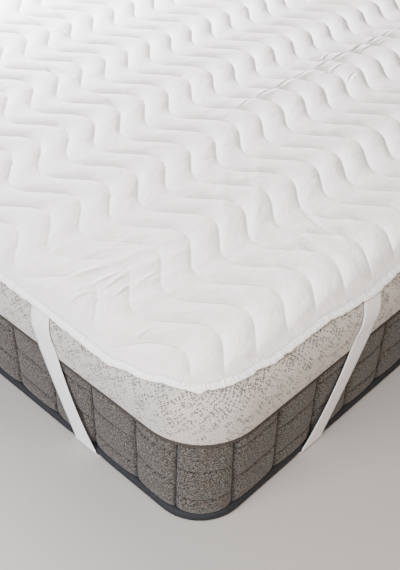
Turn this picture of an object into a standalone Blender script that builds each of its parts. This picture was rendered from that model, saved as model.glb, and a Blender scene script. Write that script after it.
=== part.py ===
"""A quilted mattress protector, held by four elastic corner straps on its mattress.

Metres, +Z up. The origin is under the middle of the mattress, on the surface it rests on.
X runs across the bed and Y along it. The lines of stitching run along Y.
"""
import math

import bmesh
import bpy
from mathutils import Vector

# The gap kept between pieces that touch on the real object
GAP = 0.0003

# The mattress: a dark foot, a dark boxed border and a pale cover with a soft top edge
MATTRESS_WIDTH = 1.600
MATTRESS_LENGTH = 2.000
FOOT_HEIGHT = 0.0155
SEAM_HEIGHT = 0.1592
MATTRESS_HEIGHT = 0.2535
COVER_CORNER = 0.105
FOOT_CORNER = 0.080
EDGE_ROUND = 0.060
BOX_SEAM_DEPTH = 0.005
# The border's upright seams on each side: the first one's distance from the corner, the boxes from
# there to the last one, and the seams on the round corner that follows, in degrees past the side
BOX_SIDES = {
    "end": {"first": 0.168, "boxes": 14, "corner": (17.7, 65.8)},
    "long side": {"first": 0.141, "boxes": 18, "corner": (24.2, 72.3)},
}

# The quilted panel: laid a little towards the back, as wide as the mattress and a little shorter
PAD_WIDTH = 1.600
PAD_LENGTH = 1.985
PAD_SHIFT = Vector((0.0, 0.0055))
PAD_CORNER = 0.130
CROWN_HEIGHT = 0.0075
STITCH_HEIGHT = 0.0030
HEM_THICKNESS = 0.0023
HEM_FADE = 0.022
# The cloth lies flat a little further out than the mattress does, and bends in a wider round
CLOTH_LIFT = 0.0005
CLOTH_ROUND = 0.065
BEND_LAG = 0.004
BEND_INSETS = (0.030, 0.043, 0.058)
UNDERSIDE_INSETS = (0.0135, 0.025, 0.036, 0.046, 0.058, 0.078)

# The stitching: rounded zigzags, nested side by side
LINE_SPACING = 0.0635
HALF_WAVE = 0.100
WAVE_SWING = 0.060
WAVE_ROUNDING = 0.35
STITCH_TURN = math.radians(-2.24)
STITCH_START = Vector((-0.726, -0.885))
ROWS_PER_LINE = 2
COLUMNS_PER_HALF_WAVE = 3

# The edge binding, a tape folded over the panel's raw edge
BINDING_WIDTH = 0.012
TAPE = 0.0008
TAPE_CLEARANCE = 0.0006
TAPE_FOLD = 0.0018
EDGE_INSET = 0.003
HEM_STRIP = 0.0135

# The elastic corner straps
STRAP_WIDTH = 0.045
STRAP_THICKNESS = 0.0012
STRAP_LIFT = 0.0005
RECESS_HEIGHT = 0.0023
RECESS_MARGIN = 0.003

# How far the hem lies out of its straight line, by the distance along it from a corner's middle:
# minus towards the long sides of the bed, plus towards its ends. The straps pull it outwards.
HEM_PULLS = {
    "distance": (-0.4500, -0.3080, -0.2060, -0.1520, -0.1146, -0.0511, 0.0, 0.0170, 0.0511,
                 0.0681, 0.1021, 0.1320, 0.2060, 0.2520, 0.3080, 0.3600, 0.4020, 0.5000),
    "pull": (0.0, 0.0010, 0.0039, 0.0067, -0.0028, -0.0095, -0.0003, -0.0003, -0.0030,
             -0.0048, -0.0066, -0.0002, 0.0004, -0.0010, 0.0063, 0.0110, 0.0079, 0.0),
}
PULL_REACH = 0.070

# Creases in the panel: both ends from the front left corner of the mattress, height and half width
CREASES = (
    {"start": (0.60, 0.545), "end": (0.86, 0.550), "height": 0.0035, "width": 0.016},
    {"start": (0.86, 0.550), "end": (1.15, 0.560), "height": 0.0028, "width": 0.016},
    {"start": (0.44, 0.60), "end": (0.47, 0.98), "height": 0.0025, "width": 0.014},
    {"start": (0.52, 0.64), "end": (0.55, 0.96), "height": 0.0022, "width": 0.014},
    {"start": (0.05, 0.33), "end": (0.23, 0.30), "height": 0.0025, "width": 0.014},
    {"start": (0.05, 0.28), "end": (0.21, 0.24), "height": 0.0022, "width": 0.014},
    {"start": (0.39, 0.10), "end": (0.44, 0.25), "height": 0.0025, "width": 0.014},
)

# Where a strap crosses each side, as distances from the corner: under the hem, over the seam
# between cover and border, and round the foot
STRAP_SIDES = {
    "long side": {"hem": 0.350, "seam": 0.326, "foot": 0.2540},
    "end": {"hem": 0.385, "seam": 0.353, "foot": 0.2585},
}

CORNERS = {
    "front_left": (-1, -1),
    "front_right": (1, -1),
    "back_right": (1, 1),
    "back_left": (-1, 1),
}

HALF_MATTRESS = Vector((MATTRESS_WIDTH / 2, MATTRESS_LENGTH / 2))
HALF_PAD = Vector((PAD_WIDTH / 2, PAD_LENGTH / 2))
PAD_HALF_ARC = PAD_CORNER * math.pi / 4
CORNER_MARGIN = 0.005
CLOTH_TOP = MATTRESS_HEIGHT + CLOTH_LIFT
MATTRESS_CORNER_STEPS = 8
PAD_CORNER_STEPS = 12


def clear_scene():
    for old in list(bpy.data.objects):
        bpy.data.objects.remove(old, do_unlink=True)


def make_material(name, colour, roughness):
    material = bpy.data.materials.new(name)
    material.use_nodes = True
    shader = material.node_tree.nodes["Principled BSDF"]
    shader.inputs["Base Color"].default_value = (*colour, 1.0)
    shader.inputs["Roughness"].default_value = roughness
    shader.inputs["Metallic"].default_value = 0.0
    return material


def finish_object(name, mesh_data, material, smooth=True):
    """Turn a bmesh into a named object with its own material."""
    bmesh.ops.recalc_face_normals(mesh_data, faces=mesh_data.faces)
    mesh = bpy.data.meshes.new(name)
    mesh_data.to_mesh(mesh)
    mesh_data.free()
    if smooth:
        mesh.shade_smooth()
        mesh.set_sharp_from_angle(angle=math.radians(40))
    mesh.materials.append(material)
    piece = bpy.data.objects.new(name, mesh)
    bpy.context.collection.objects.link(piece)
    return piece


def side_reach(point, centre, half, corner):
    """Signed distance of a flat point from a rounded rectangle, and the outward direction there."""
    local = point - centre
    core = half - Vector((corner, corner))
    nearest = Vector((max(-core.x, min(core.x, local.x)), max(-core.y, min(core.y, local.y))))
    offset = local - nearest
    if offset.length > 1e-9:
        return offset.length - corner, offset.normalized()
    over_x = abs(local.x) - core.x
    over_y = abs(local.y) - core.y
    if over_x > over_y:
        return over_x - corner, Vector((math.copysign(1, local.x), 0))
    return over_y - corner, Vector((0, math.copysign(1, local.y)))


def rounded_outline(half, corner, corner_steps, side_stops=()):
    """Points round a rectangle with round corners, counter-clockwise from the right side.

    side_stops are extra distances along each straight side, measured from its nearer corner.
    """
    points = []
    signs = ((1, 1), (-1, 1), (-1, -1), (1, -1))
    for quarter, (sign_x, sign_y) in enumerate(signs):
        middle = Vector((sign_x * (half.x - corner), sign_y * (half.y - corner)))
        start = quarter * math.pi / 2
        for step in range(corner_steps + 1):
            angle = start + step * math.pi / 2 / corner_steps
            points.append(middle + corner * Vector((math.cos(angle), math.sin(angle))))
        next_x, next_y = signs[(quarter + 1) % 4]
        here = points[-1]
        there = Vector((next_x * (half.x - corner), next_y * (half.y - corner)))
        there += corner * Vector((math.cos(start + math.pi / 2), math.sin(start + math.pi / 2)))
        length = (there - here).length
        stops = sorted({*side_stops, *(length - stop for stop in side_stops)})
        points.extend(here.lerp(there, stop / length) for stop in stops if 0 < stop < length)
    return points


def add_ring(mesh_data, points):
    return [mesh_data.verts.new(point) for point in points]


def join_rings(mesh_data, lower, upper):
    count = len(lower)
    for index in range(count):
        following = (index + 1) % count
        mesh_data.faces.new((lower[index], lower[following], upper[following], upper[index]))


def stacked_body(rings):
    """A closed body through a stack of outlines, with a flat face at each end."""
    mesh_data = bmesh.new()
    loops = [add_ring(mesh_data, ring) for ring in rings]
    for lower, upper in zip(loops, loops[1:]):
        join_rings(mesh_data, lower, upper)
    mesh_data.faces.new(list(reversed(loops[0])))
    mesh_data.faces.new(loops[-1])
    return mesh_data


def mattress_ring(inset, height, corner):
    half = HALF_MATTRESS - Vector((inset, inset))
    outline = rounded_outline(half, corner - inset, MATTRESS_CORNER_STEPS)
    return [Vector((*point, height)) for point in outline]


def make_cover():
    """The pale upper part of the mattress, with a soft round top edge."""
    rings = [
        mattress_ring(0.003, SEAM_HEIGHT, COVER_CORNER),
        mattress_ring(0.0, SEAM_HEIGHT + 0.005, COVER_CORNER),
    ]
    steps = 7
    for step in range(steps + 1):
        angle = step * math.pi / 2 / steps
        inset = EDGE_ROUND * (1 - math.cos(angle))
        height = MATTRESS_HEIGHT - EDGE_ROUND * (1 - math.sin(angle))
        rings.append(mattress_ring(inset, height, COVER_CORNER))
    material = make_material("knit_cover", (0.70, 0.67, 0.63), 0.9)
    return finish_object("mattress_cover", stacked_body(rings), material)


def seam_distances():
    """Where the upright seams lie, as distances round the mattress, and the whole way round."""
    distances = []
    passed = 0.0
    for side, size in (("end", MATTRESS_WIDTH), ("long side", MATTRESS_LENGTH)) * 2:
        places = BOX_SIDES[side]
        straight = size - 2 * COVER_CORNER
        first = places["first"] - COVER_CORNER
        pitch = (straight - 2 * first) / places["boxes"]
        distances.extend(passed + first + box * pitch for box in range(places["boxes"] + 1))
        passed += straight
        distances.extend(passed + COVER_CORNER * math.radians(degrees) for degrees in places["corner"])
        passed += COVER_CORNER * math.pi / 2
    return distances, passed


def perimeter_point(distance):
    """A point on the mattress's outline, by the distance along it from the front left corner."""
    core = HALF_MATTRESS - Vector((COVER_CORNER, COVER_CORNER))
    sides = (
        (Vector((-core.x, -core.y)), Vector((1, 0)), 2 * core.x),
        (Vector((core.x, -core.y)), Vector((0, 1)), 2 * core.y),
        (Vector((core.x, core.y)), Vector((-1, 0)), 2 * core.x),
        (Vector((-core.x, core.y)), Vector((0, -1)), 2 * core.y),
    )
    arc = COVER_CORNER * math.pi / 2
    left = distance % (4 * (core.x + core.y) + 4 * arc)
    for start, along, length in sides:
        outward = Vector((along.y, -along.x))
        if left <= length:
            return start + along * left + outward * COVER_CORNER
        left -= length
        if left <= arc:
            angle = left / COVER_CORNER
            return start + along * length + COVER_CORNER * (outward * math.cos(angle) + along * math.sin(angle))
        left -= arc
    return sides[0][0]


def make_border():
    """The dark border, drawn in along the upright seams between its boxes."""
    box_stations = ((0.0, BOX_SEAM_DEPTH), (0.18, 0.0), (0.82, 0.0))
    levels = (
        (FOOT_HEIGHT + GAP, 0.004),
        (FOOT_HEIGHT + 0.010, 0.0),
        (SEAM_HEIGHT - 0.010, 0.0),
        (SEAM_HEIGHT - GAP, 0.004),
    )
    seams, whole = seam_distances()
    rings = []
    for height, inset in levels:
        rise = (height - FOOT_HEIGHT) / (SEAM_HEIGHT - FOOT_HEIGHT)
        corner = FOOT_CORNER + (COVER_CORNER - FOOT_CORNER) * rise
        ring = []
        for here, there in zip(seams, seams[1:] + [seams[0] + whole]):
            for share, depth in box_stations:
                flat = perimeter_point(here + (there - here) * share)
                reach, outward = side_reach(flat, Vector((0, 0)), HALF_MATTRESS, corner)
                flat = flat - outward * (reach + inset + depth)
                ring.append(Vector((*flat, height)))
        rings.append(ring)
    material = make_material("border_wool", (0.16, 0.14, 0.12), 0.95)
    return finish_object("mattress_border", stacked_body(rings), material)


def foot_profile():
    """The foot's edge as (inset, height) pairs: flat underneath, then round up its side."""
    radius = 0.0052
    middle_inset = 0.0058
    middle_height = 0.0076
    profile = [(0.0125, 0.0)]
    for degrees in (90, 60, 30, 0):
        angle = math.radians(degrees)
        profile.append((middle_inset - radius * math.cos(angle), middle_height - radius * math.sin(angle)))
    profile.append((middle_inset - radius, FOOT_HEIGHT))
    return profile


def make_foot(straps_under):
    """The dark foot of the mattress, hollowed where the straps pass beneath it."""
    rings = [mattress_ring(inset, height, FOOT_CORNER) for inset, height in foot_profile()]
    material = make_material("foot_tape", (0.06, 0.065, 0.075), 0.7)
    foot = finish_object("mattress_foot", stacked_body(rings), material, smooth=False)
    for name, band in straps_under.items():
        cutter = make_recess_cutter(name, band)
        cut = foot.modifiers.new("recess " + name, "BOOLEAN")
        cut.operation = "DIFFERENCE"
        cut.solver = "EXACT"
        cut.object = cutter
    return foot


def make_recess_cutter(name, band):
    """A flat bar along one strap's run beneath the mattress."""
    start, end = band
    along = (end - start).normalized()
    across = Vector((-along.y, along.x)) * (STRAP_WIDTH / 2 + RECESS_MARGIN)
    reach = along * 0.050
    corners = (start - reach - across, end + reach - across, end + reach + across, start - reach + across)
    bar = stacked_body([
        [Vector((*corner, -0.002)) for corner in corners],
        [Vector((*corner, RECESS_HEIGHT)) for corner in corners],
    ])
    cutter = finish_object("cutter_" + name, bar, make_material("cutter", (1, 0, 0), 1), smooth=False)
    cutter.hide_render = True
    cutter.display_type = "WIRE"
    return cutter


def wave(along):
    """Sideways place of a stitching line: zero at its right-hand turns, -WAVE_SWING at its left-hand ones."""
    share = (along / HALF_WAVE) % 2
    rise = share if share <= 1 else 2 - share
    if rise < WAVE_ROUNDING:
        eased = rise * rise / (2 * WAVE_ROUNDING)
    elif rise > 1 - WAVE_ROUNDING:
        eased = 1 - WAVE_ROUNDING - (1 - rise) ** 2 / (2 * WAVE_ROUNDING)
    else:
        eased = rise - WAVE_ROUNDING / 2
    return -WAVE_SWING * eased / (1 - WAVE_ROUNDING)


def turn(vector, angle):
    return Vector((
        vector.x * math.cos(angle) - vector.y * math.sin(angle),
        vector.x * math.sin(angle) + vector.y * math.cos(angle),
    ))


def hem_pull(point):
    """How far the hem beside a flat point is pulled outwards."""
    local = point - PAD_SHIFT
    core = HALF_PAD - Vector((PAD_CORNER, PAD_CORNER))
    over_x = abs(local.x) - core.x
    over_y = abs(local.y) - core.y
    if over_x > 0 and over_y > 0:
        distance = PAD_CORNER * (math.atan2(over_y, over_x) - math.pi / 4)
    elif over_y > over_x:
        distance = PAD_HALF_ARC - over_x
    else:
        distance = over_y - PAD_HALF_ARC
    places = list(zip(HEM_PULLS["distance"], HEM_PULLS["pull"]))
    for (low, low_pull), (high, high_pull) in zip(places, places[1:]):
        if low <= distance <= high:
            return low_pull + (high_pull - low_pull) * (distance - low) / (high - low)
    return 0.0


def drape(point, height):
    """A point of the cloth, laid flat at (x, y), on the mattress: height is above its underside."""
    reach, outward = side_reach(point, PAD_SHIFT, HALF_PAD, PAD_CORNER)
    share = max(0.0, 1 + reach / PULL_REACH)
    point = point + outward * hem_pull(point) * share
    past_side, outward = side_reach(point, Vector((0, 0)), HALF_MATTRESS, COVER_CORNER)
    over = past_side + EDGE_ROUND - BEND_LAG
    if over <= 0:
        return Vector((*point, CLOTH_TOP + height))
    angle = over / CLOTH_ROUND
    radius = CLOTH_ROUND + height
    flat = point + outward * (radius * math.sin(angle) - over)
    return Vector((*flat, CLOTH_TOP - CLOTH_ROUND + radius * math.cos(angle)))


def crease_height(point):
    """What the creases add to the panel's thickness at a flat point."""
    from_corner = point + HALF_MATTRESS
    total = 0.0
    for crease in CREASES:
        start = Vector(crease["start"])
        run = Vector(crease["end"]) - start
        share = max(0.0, min(1.0, (from_corner - start).dot(run) / run.length_squared))
        distance = (from_corner - start - run * share).length
        total += crease["height"] * math.exp(-(distance / crease["width"]) ** 2)
    return total


def panel_top():
    """The quilted upper face, flat: its mesh follows the stitching, and is cut to the outline."""
    row_step = LINE_SPACING / ROWS_PER_LINE
    column_step = HALF_WAVE / COLUMNS_PER_HALF_WAVE
    first_row, last_row = -4, math.ceil((MATTRESS_WIDTH + 0.12) / row_step)
    first_column, last_column = -6, math.ceil((MATTRESS_LENGTH + 0.10) / column_step)
    top = bmesh.new()
    bmesh.ops.create_grid(top, x_segments=last_row - first_row, y_segments=last_column - first_column, size=0.5)
    for vert in top.verts:
        row = first_row + round((vert.co.x + 0.5) * (last_row - first_row))
        column = first_column + round((vert.co.y + 0.5) * (last_column - first_column))
        across = row * row_step + wave(column * column_step)
        flat = STITCH_START + turn(Vector((across, column * column_step)), STITCH_TURN)
        height = CROWN_HEIGHT if row % ROWS_PER_LINE else STITCH_HEIGHT
        vert.co = Vector((*flat, height + crease_height(flat)))
    cut_to_outline(top, panel_outline(HEM_STRIP))
    cut_bend_lines(top)
    flatten_hem(top)
    add_hem_strip(top)
    return top


def panel_outline(inset, side_stops=()):
    """Flat points round the panel, this far in from its outline."""
    half = HALF_PAD - Vector((inset, inset))
    outline = rounded_outline(half, PAD_CORNER - inset, PAD_CORNER_STEPS, side_stops)
    return [point + PAD_SHIFT for point in outline]


def cut_to_outline(mesh_data, outline):
    for here, there in zip(outline, outline[1:] + outline[:1]):
        along = there - here
        bmesh.ops.bisect_plane(
            mesh_data,
            geom=mesh_data.verts[:] + mesh_data.edges[:] + mesh_data.faces[:],
            dist=1e-6,
            plane_co=(*here, 0),
            plane_no=(along.y, -along.x, 0),
            clear_outer=True,
        )


def cut_bend_lines(mesh_data):
    """Lines along the four sides, where the panel bends over the mattress's edge."""
    for inset in BEND_INSETS:
        for side in (Vector((1, 0)), Vector((-1, 0)), Vector((0, 1)), Vector((0, -1))):
            reach = abs(side.dot(HALF_PAD)) - inset
            bmesh.ops.bisect_plane(
                mesh_data,
                geom=mesh_data.verts[:] + mesh_data.edges[:] + mesh_data.faces[:],
                dist=0.002,
                plane_co=(*(PAD_SHIFT + side * reach), 0),
                plane_no=(*side, 0),
            )


def flatten_hem(mesh_data):
    """Thin the panel down towards its raw edge, under the binding."""
    for vert in mesh_data.verts:
        reach, _ = side_reach(vert.co.xy, PAD_SHIFT, HALF_PAD, PAD_CORNER)
        fade = min(1.0, max(0.0, (-reach - HEM_STRIP) / HEM_FADE))
        vert.co.z = HEM_THICKNESS + (vert.co.z - HEM_THICKNESS) * fade


def boundary_edges(mesh_data):
    return [edge for edge in mesh_data.edges if edge.is_boundary]


def split_at_stations(mesh_data, stations):
    """Give the outline a point at each station, so that it turns where the binding turns."""
    near = 0.001
    for station in stations:
        for edge in boundary_edges(mesh_data):
            start, end = (vert.co.xy for vert in edge.verts)
            run = end - start
            share = (station - start).dot(run) / run.length_squared
            clear = near / run.length
            if clear < share < 1 - clear and (start + run * share - station).length < near / 10:
                bmesh.utils.edge_split(edge, edge.verts[0], share)
                break


def add_hem_strip(mesh_data):
    """The thin raw edge that the binding takes in, drawn out from the quilted part's outline."""
    split_at_stations(mesh_data, hem_stations(HEM_STRIP))
    for vert in {vert for edge in boundary_edges(mesh_data) for vert in edge.verts}:
        vert.co.z = HEM_THICKNESS
    drawn = bmesh.ops.extrude_edge_only(mesh_data, edges=boundary_edges(mesh_data))
    for vert in drawn_verts(drawn):
        reach, outward = side_reach(vert.co.xy, PAD_SHIFT, HALF_PAD, PAD_CORNER)
        vert.co.xy += outward * (-reach - EDGE_INSET)
    drawn = bmesh.ops.extrude_edge_only(mesh_data, edges=boundary_edges(mesh_data))
    for vert in drawn_verts(drawn):
        vert.co.z = 0.0


def drawn_verts(extrusion):
    return [part for part in extrusion["geom"] if isinstance(part, bmesh.types.BMVert)]


def hem_stations(inset):
    """Flat points round the hem, at every turning point of its unevenness."""
    stops = {abs(distance) - PAD_HALF_ARC for distance in HEM_PULLS["distance"]}
    return panel_outline(inset, sorted(stop for stop in stops if stop > CORNER_MARGIN))


def add_underside(mesh_data):
    """The flat underside: rings inward from beneath the binding, and one face across the middle."""
    rings = []
    for inset in UNDERSIDE_INSETS:
        rings.append(add_ring(mesh_data, [Vector((*point, 0)) for point in hem_stations(inset)]))
    for outer, inner in zip(rings, rings[1:]):
        join_rings(mesh_data, inner, outer)
    mesh_data.faces.new(rings[-1])


def make_pad():
    """The quilted panel: channels between rows of stitching, laid over the mattress's soft edge."""
    pad = panel_top()
    add_underside(pad)
    bmesh.ops.triangle_fill(
        pad, use_beauty=True, use_dissolve=False, edges=boundary_edges(pad), normal=(0, 0, -1)
    )
    for vert in pad.verts:
        vert.co = drape(vert.co.xy, vert.co.z)
    bmesh.ops.triangulate(pad, faces=pad.faces)
    material = make_material("quilted_cotton", (0.86, 0.86, 0.86), 0.85)
    return finish_object("pad", pad, material)


def make_binding():
    """The tape folded over the panel's edge: an upper leg, the fold and a lower leg."""
    upper = HEM_THICKNESS + TAPE_CLEARANCE
    lower = -TAPE_CLEARANCE
    profile = (
        (BINDING_WIDTH, upper + TAPE),
        (TAPE_FOLD, upper + TAPE),
        (0.0, upper),
        (0.0, lower),
        (TAPE_FOLD, lower - TAPE),
        (BINDING_WIDTH, lower - TAPE),
        (BINDING_WIDTH, lower),
        (TAPE_FOLD, lower),
        (TAPE_FOLD, upper),
        (BINDING_WIDTH, upper),
    )
    binding = bmesh.new()
    loops = []
    for inset, height in profile:
        loops.append(add_ring(binding, [drape(point, height) for point in hem_stations(inset)]))
    for here, there in zip(loops, loops[1:] + loops[:1]):
        join_rings(binding, here, there)
    material = make_material("binding_tape", (0.92, 0.92, 0.92), 0.8)
    return finish_object("binding", binding, material)


def corner_point(signs, side, distance, outward, height):
    """A point beside one corner: distance along the side from the corner, outward of the side."""
    sign_x, sign_y = signs
    if side == "long side":
        return Vector((sign_x * (HALF_MATTRESS.x + outward), sign_y * (HALF_MATTRESS.y - distance), height))
    return Vector((sign_x * (HALF_MATTRESS.x - distance), sign_y * (HALF_MATTRESS.y + outward), height))


def strap_side_stations(signs, side):
    """Rows down one side, from the hem to the underside: centre distance, half width, reach, height."""
    places = STRAP_SIDES[side]
    hem_flat = corner_point(signs, side, places["hem"], 0.0, 0.0).xy
    if side == "long side":
        hem_flat.x = PAD_SHIFT.x + signs[0] * HALF_PAD.x
    else:
        hem_flat.y = PAD_SHIFT.y + signs[1] * HALF_PAD.y
    hem = drape(hem_flat, -0.0002)
    hem_reach, _ = side_reach(hem.xy, Vector((0, 0)), HALF_MATTRESS, COVER_CORNER)
    slope = math.atan2(places["seam"] - places["foot"], SEAM_HEIGHT)
    half = STRAP_WIDTH / 2 / math.cos(slope)
    middle = GAP + STRAP_THICKNESS / 2 + 0.0002
    round_start = MATTRESS_HEIGHT - EDGE_ROUND
    stations = [(places["hem"], half * 0.92, hem_reach + 0.0012, hem.z - 0.0010)]
    slide = (places["hem"] - places["seam"]) / (hem.z - SEAM_HEIGHT)
    for share in (0.75, 0.5, 0.25, 0.0):
        height = round_start + share * (hem.z - 0.004 - round_start)
        angle = math.asin((height - round_start) / EDGE_ROUND)
        reach = (EDGE_ROUND + middle + 0.0012 * share) * math.cos(angle) - EDGE_ROUND
        lift = middle * math.sin(angle)
        distance = places["hem"] - slide * (hem.z - height)
        stations.append((distance, half, reach, height + lift))
    stations.append((places["seam"], half, middle, SEAM_HEIGHT))
    near_foot = places["foot"] + (places["seam"] - places["foot"]) * 0.012 / SEAM_HEIGHT
    stations.append((near_foot, half, middle, 0.012))
    stations.extend(strap_turn_stations(places["foot"], half, middle))
    return [
        (corner_point(signs, side, distance - width, reach, height),
         corner_point(signs, side, distance + width, reach, height))
        for distance, width, reach, height in stations
    ]


def strap_turn_stations(foot_distance, half, middle):
    """The turn round the foot, where the strap swings from its slope to the diagonal."""
    radius = 0.0065
    under = STRAP_LIFT + STRAP_THICKNESS / 2
    diagonal_half = STRAP_WIDTH / 2 / math.sin(math.radians(45))
    stations = []
    for degrees in (0, 22.5, 45, 67.5, 90):
        angle = math.radians(degrees)
        share = degrees / 90
        reach = middle - radius * (1 - math.cos(angle))
        height = under + radius * (1 - math.sin(angle))
        stations.append((foot_distance, half + (diagonal_half - half) * share, reach, height))
    return stations


def make_strap(corner_name, signs):
    """One elastic strap: down one side, beneath the corner and up the other side."""
    rows = strap_side_stations(signs, "long side")
    end_rows = strap_side_stations(signs, "end")
    rows.extend((near, far) for near, far in reversed(end_rows))
    strap = bmesh.new()
    half = STRAP_THICKNESS / 2
    loops = []
    for index, (near, far) in enumerate(rows):
        before = rows[max(0, index - 1)]
        after = rows[min(len(rows) - 1, index + 1)]
        along = (after[0] + after[1] - before[0] - before[1]).normalized()
        face = along.cross(far - near).normalized() * half
        loops.append(add_ring(strap, (near - face, far - face, far + face, near + face)))
    for here, there in zip(loops, loops[1:]):
        join_rings(strap, here, there)
    strap.faces.new(list(reversed(loops[0])))
    strap.faces.new(loops[-1])
    bmesh.ops.triangulate(strap, faces=strap.faces)
    name = "strap_" + corner_name
    return finish_object(name, strap, make_material(name, (0.80, 0.80, 0.82), 0.7))


def strap_underside_band(signs):
    """The two ends of a strap's straight run beneath the mattress, as flat points."""
    long_side = corner_point(signs, "long side", STRAP_SIDES["long side"]["foot"], -0.006, 0)
    end = corner_point(signs, "end", STRAP_SIDES["end"]["foot"], -0.006, 0)
    return long_side.xy, end.xy


def build():
    clear_scene()
    make_cover()
    make_border()
    make_foot({name: strap_underside_band(signs) for name, signs in CORNERS.items()})
    make_pad()
    make_binding()
    for name, signs in CORNERS.items():
        make_strap(name, signs)


build()
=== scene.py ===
# %% [markdown]
# # A quilted mattress protector, held on its mattress by elastic straps
#
# A mattress protector is a washable quilted panel. Its raw edge is bound with a folded tape, and four
# elastic straps hold it: each leaves the hem, runs down one side of the mattress, passes beneath the
# corner and comes up the next side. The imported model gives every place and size, and this lesson
# gives it the looks: dense quilting, gathered tape, knitted and woven cloth.

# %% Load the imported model
import math

import bmesh
import bpy
from mathutils import Matrix, Vector, noise


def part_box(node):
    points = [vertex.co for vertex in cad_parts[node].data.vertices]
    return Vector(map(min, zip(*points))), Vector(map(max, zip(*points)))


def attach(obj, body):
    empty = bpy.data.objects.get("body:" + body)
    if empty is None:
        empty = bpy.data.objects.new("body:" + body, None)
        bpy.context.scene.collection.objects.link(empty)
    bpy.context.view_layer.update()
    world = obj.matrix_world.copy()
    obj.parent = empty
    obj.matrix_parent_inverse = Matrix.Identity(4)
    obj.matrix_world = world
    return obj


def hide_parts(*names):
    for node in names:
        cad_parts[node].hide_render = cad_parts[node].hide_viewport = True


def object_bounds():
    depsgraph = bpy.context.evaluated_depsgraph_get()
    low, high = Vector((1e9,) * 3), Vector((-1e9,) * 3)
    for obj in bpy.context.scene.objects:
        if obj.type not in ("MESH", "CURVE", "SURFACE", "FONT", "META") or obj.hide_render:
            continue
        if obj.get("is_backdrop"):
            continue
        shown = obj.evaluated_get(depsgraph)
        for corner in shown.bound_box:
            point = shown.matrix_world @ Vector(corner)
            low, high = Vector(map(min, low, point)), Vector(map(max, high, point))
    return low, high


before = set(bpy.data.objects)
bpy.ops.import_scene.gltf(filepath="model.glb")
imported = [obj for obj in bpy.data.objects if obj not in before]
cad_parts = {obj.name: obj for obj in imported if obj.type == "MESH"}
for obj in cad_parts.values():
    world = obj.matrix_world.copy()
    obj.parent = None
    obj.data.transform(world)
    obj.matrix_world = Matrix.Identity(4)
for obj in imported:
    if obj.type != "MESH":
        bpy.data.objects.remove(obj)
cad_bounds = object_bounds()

print("Nodes in the frame:", ", ".join(sorted(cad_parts)))

# %% [markdown]
# ## Sizes
#
# The mattress's sizes are read from its nodes, so the new pieces fit it without any moving about.
# What can't be read from a box, such as the radius of a corner, is named here in metres.

# %% Read the mattress and name the other sizes
cover_low, cover_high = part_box("mattress_cover")
HALF_MATTRESS = Vector((cover_high[0], cover_high[1]))
MATTRESS_TOP = cover_high[2]
SEAM_HEIGHT = cover_low[2]
FOOT_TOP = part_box("mattress_foot")[1][2]
COVER_CORNER = 0.105
FOOT_CORNER = 0.080
EDGE_ROUND = 0.060

HALF_PAD = Vector((0.800, 0.9925))
PAD_SHIFT = Vector((0.0, 0.0055))
PAD_CORNER = 0.130
CLOTH_TOP = MATTRESS_TOP + 0.0005
CLOTH_ROUND = 0.065
BEND_LAG = 0.004
HEM_THICKNESS = 0.0023
HEM_STRIP = 0.0135
EDGE_INSET = 0.003
CENTRE = Vector((0.0, 0.0))
print("Mattress:", [round(2 * side, 3) for side in HALF_MATTRESS], "and", round(MATTRESS_TOP, 3), "high")

# %% [markdown]
# ## Helpers for outlines
#
# A mattress seen from above is a rectangle with round corners. Small helpers serve every piece:
# `outline` walks round it at even steps, and `side_reach` says how far a point lies from it.

# %% Walk round an outline, and measure a point against it
def outline_place(half, corner, distance):
    """The point this far round a rectangle with round corners, and its outward direction."""
    core = half - Vector((corner, corner))
    start = -core
    along = Vector((1, 0))
    arc = corner * math.pi / 2
    for length in (2 * core.x, 2 * core.y) * 2:
        outward = Vector((along.y, -along.x))
        if distance <= length:
            return start + along * distance + outward * corner, outward
        distance -= length
        start = start + along * length
        if distance <= arc:
            angle = distance / corner
            facing = outward * math.cos(angle) + along * math.sin(angle)
            return start + facing * corner, facing
        distance -= arc
        along = Vector((-along.y, along.x))
    return outline_place(half, corner, 0.0)


def outline(half, corner, spacing):
    """Places at even steps round such an outline, and the distances walked, back to the start."""
    around = 4 * (half.x + half.y) - (8 - 2 * math.pi) * corner
    count = round(around / spacing)
    distances = [step * around / count for step in range(count + 1)]
    return [outline_place(half, corner, distance) for distance in distances[:-1]], distances


def side_reach(point, centre, half, corner):
    """Signed distance of a flat point from such an outline, and the outward direction there."""
    local = point - centre
    core = half - Vector((corner, corner))
    nearest = Vector((max(-core.x, min(core.x, local.x)), max(-core.y, min(core.y, local.y))))
    offset = local - nearest
    if offset.length > 1e-9:
        return offset.length - corner, offset.normalized()
    over_x = abs(local.x) - core.x
    over_y = abs(local.y) - core.y
    if over_x > over_y:
        return over_x - corner, Vector((math.copysign(1, local.x), 0))
    return over_y - corner, Vector((0, math.copysign(1, local.y)))


_, walked = outline(HALF_MATTRESS, COVER_CORNER, 0.01)
print("Once round the mattress is", round(walked[-1], 3), "m")

# %% [markdown]
# ## Helpers for meshes
#
# Most pieces run all the way round the mattress. Such a piece starts as one loop of edges, and
# `extrude_edge_only` draws that loop out ring by ring, as a curtain is drawn from its heading. Each
# vertex carries its station round the loop and its ring, so a place can be worked out for it.

# %% Draw a loop of edges out through rings, and finish a piece
def verts_of(geometry):
    return [part for part in geometry if isinstance(part, bmesh.types.BMVert)]


def edges_of(geometry):
    return [part for part in geometry if isinstance(part, bmesh.types.BMEdge)]


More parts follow.
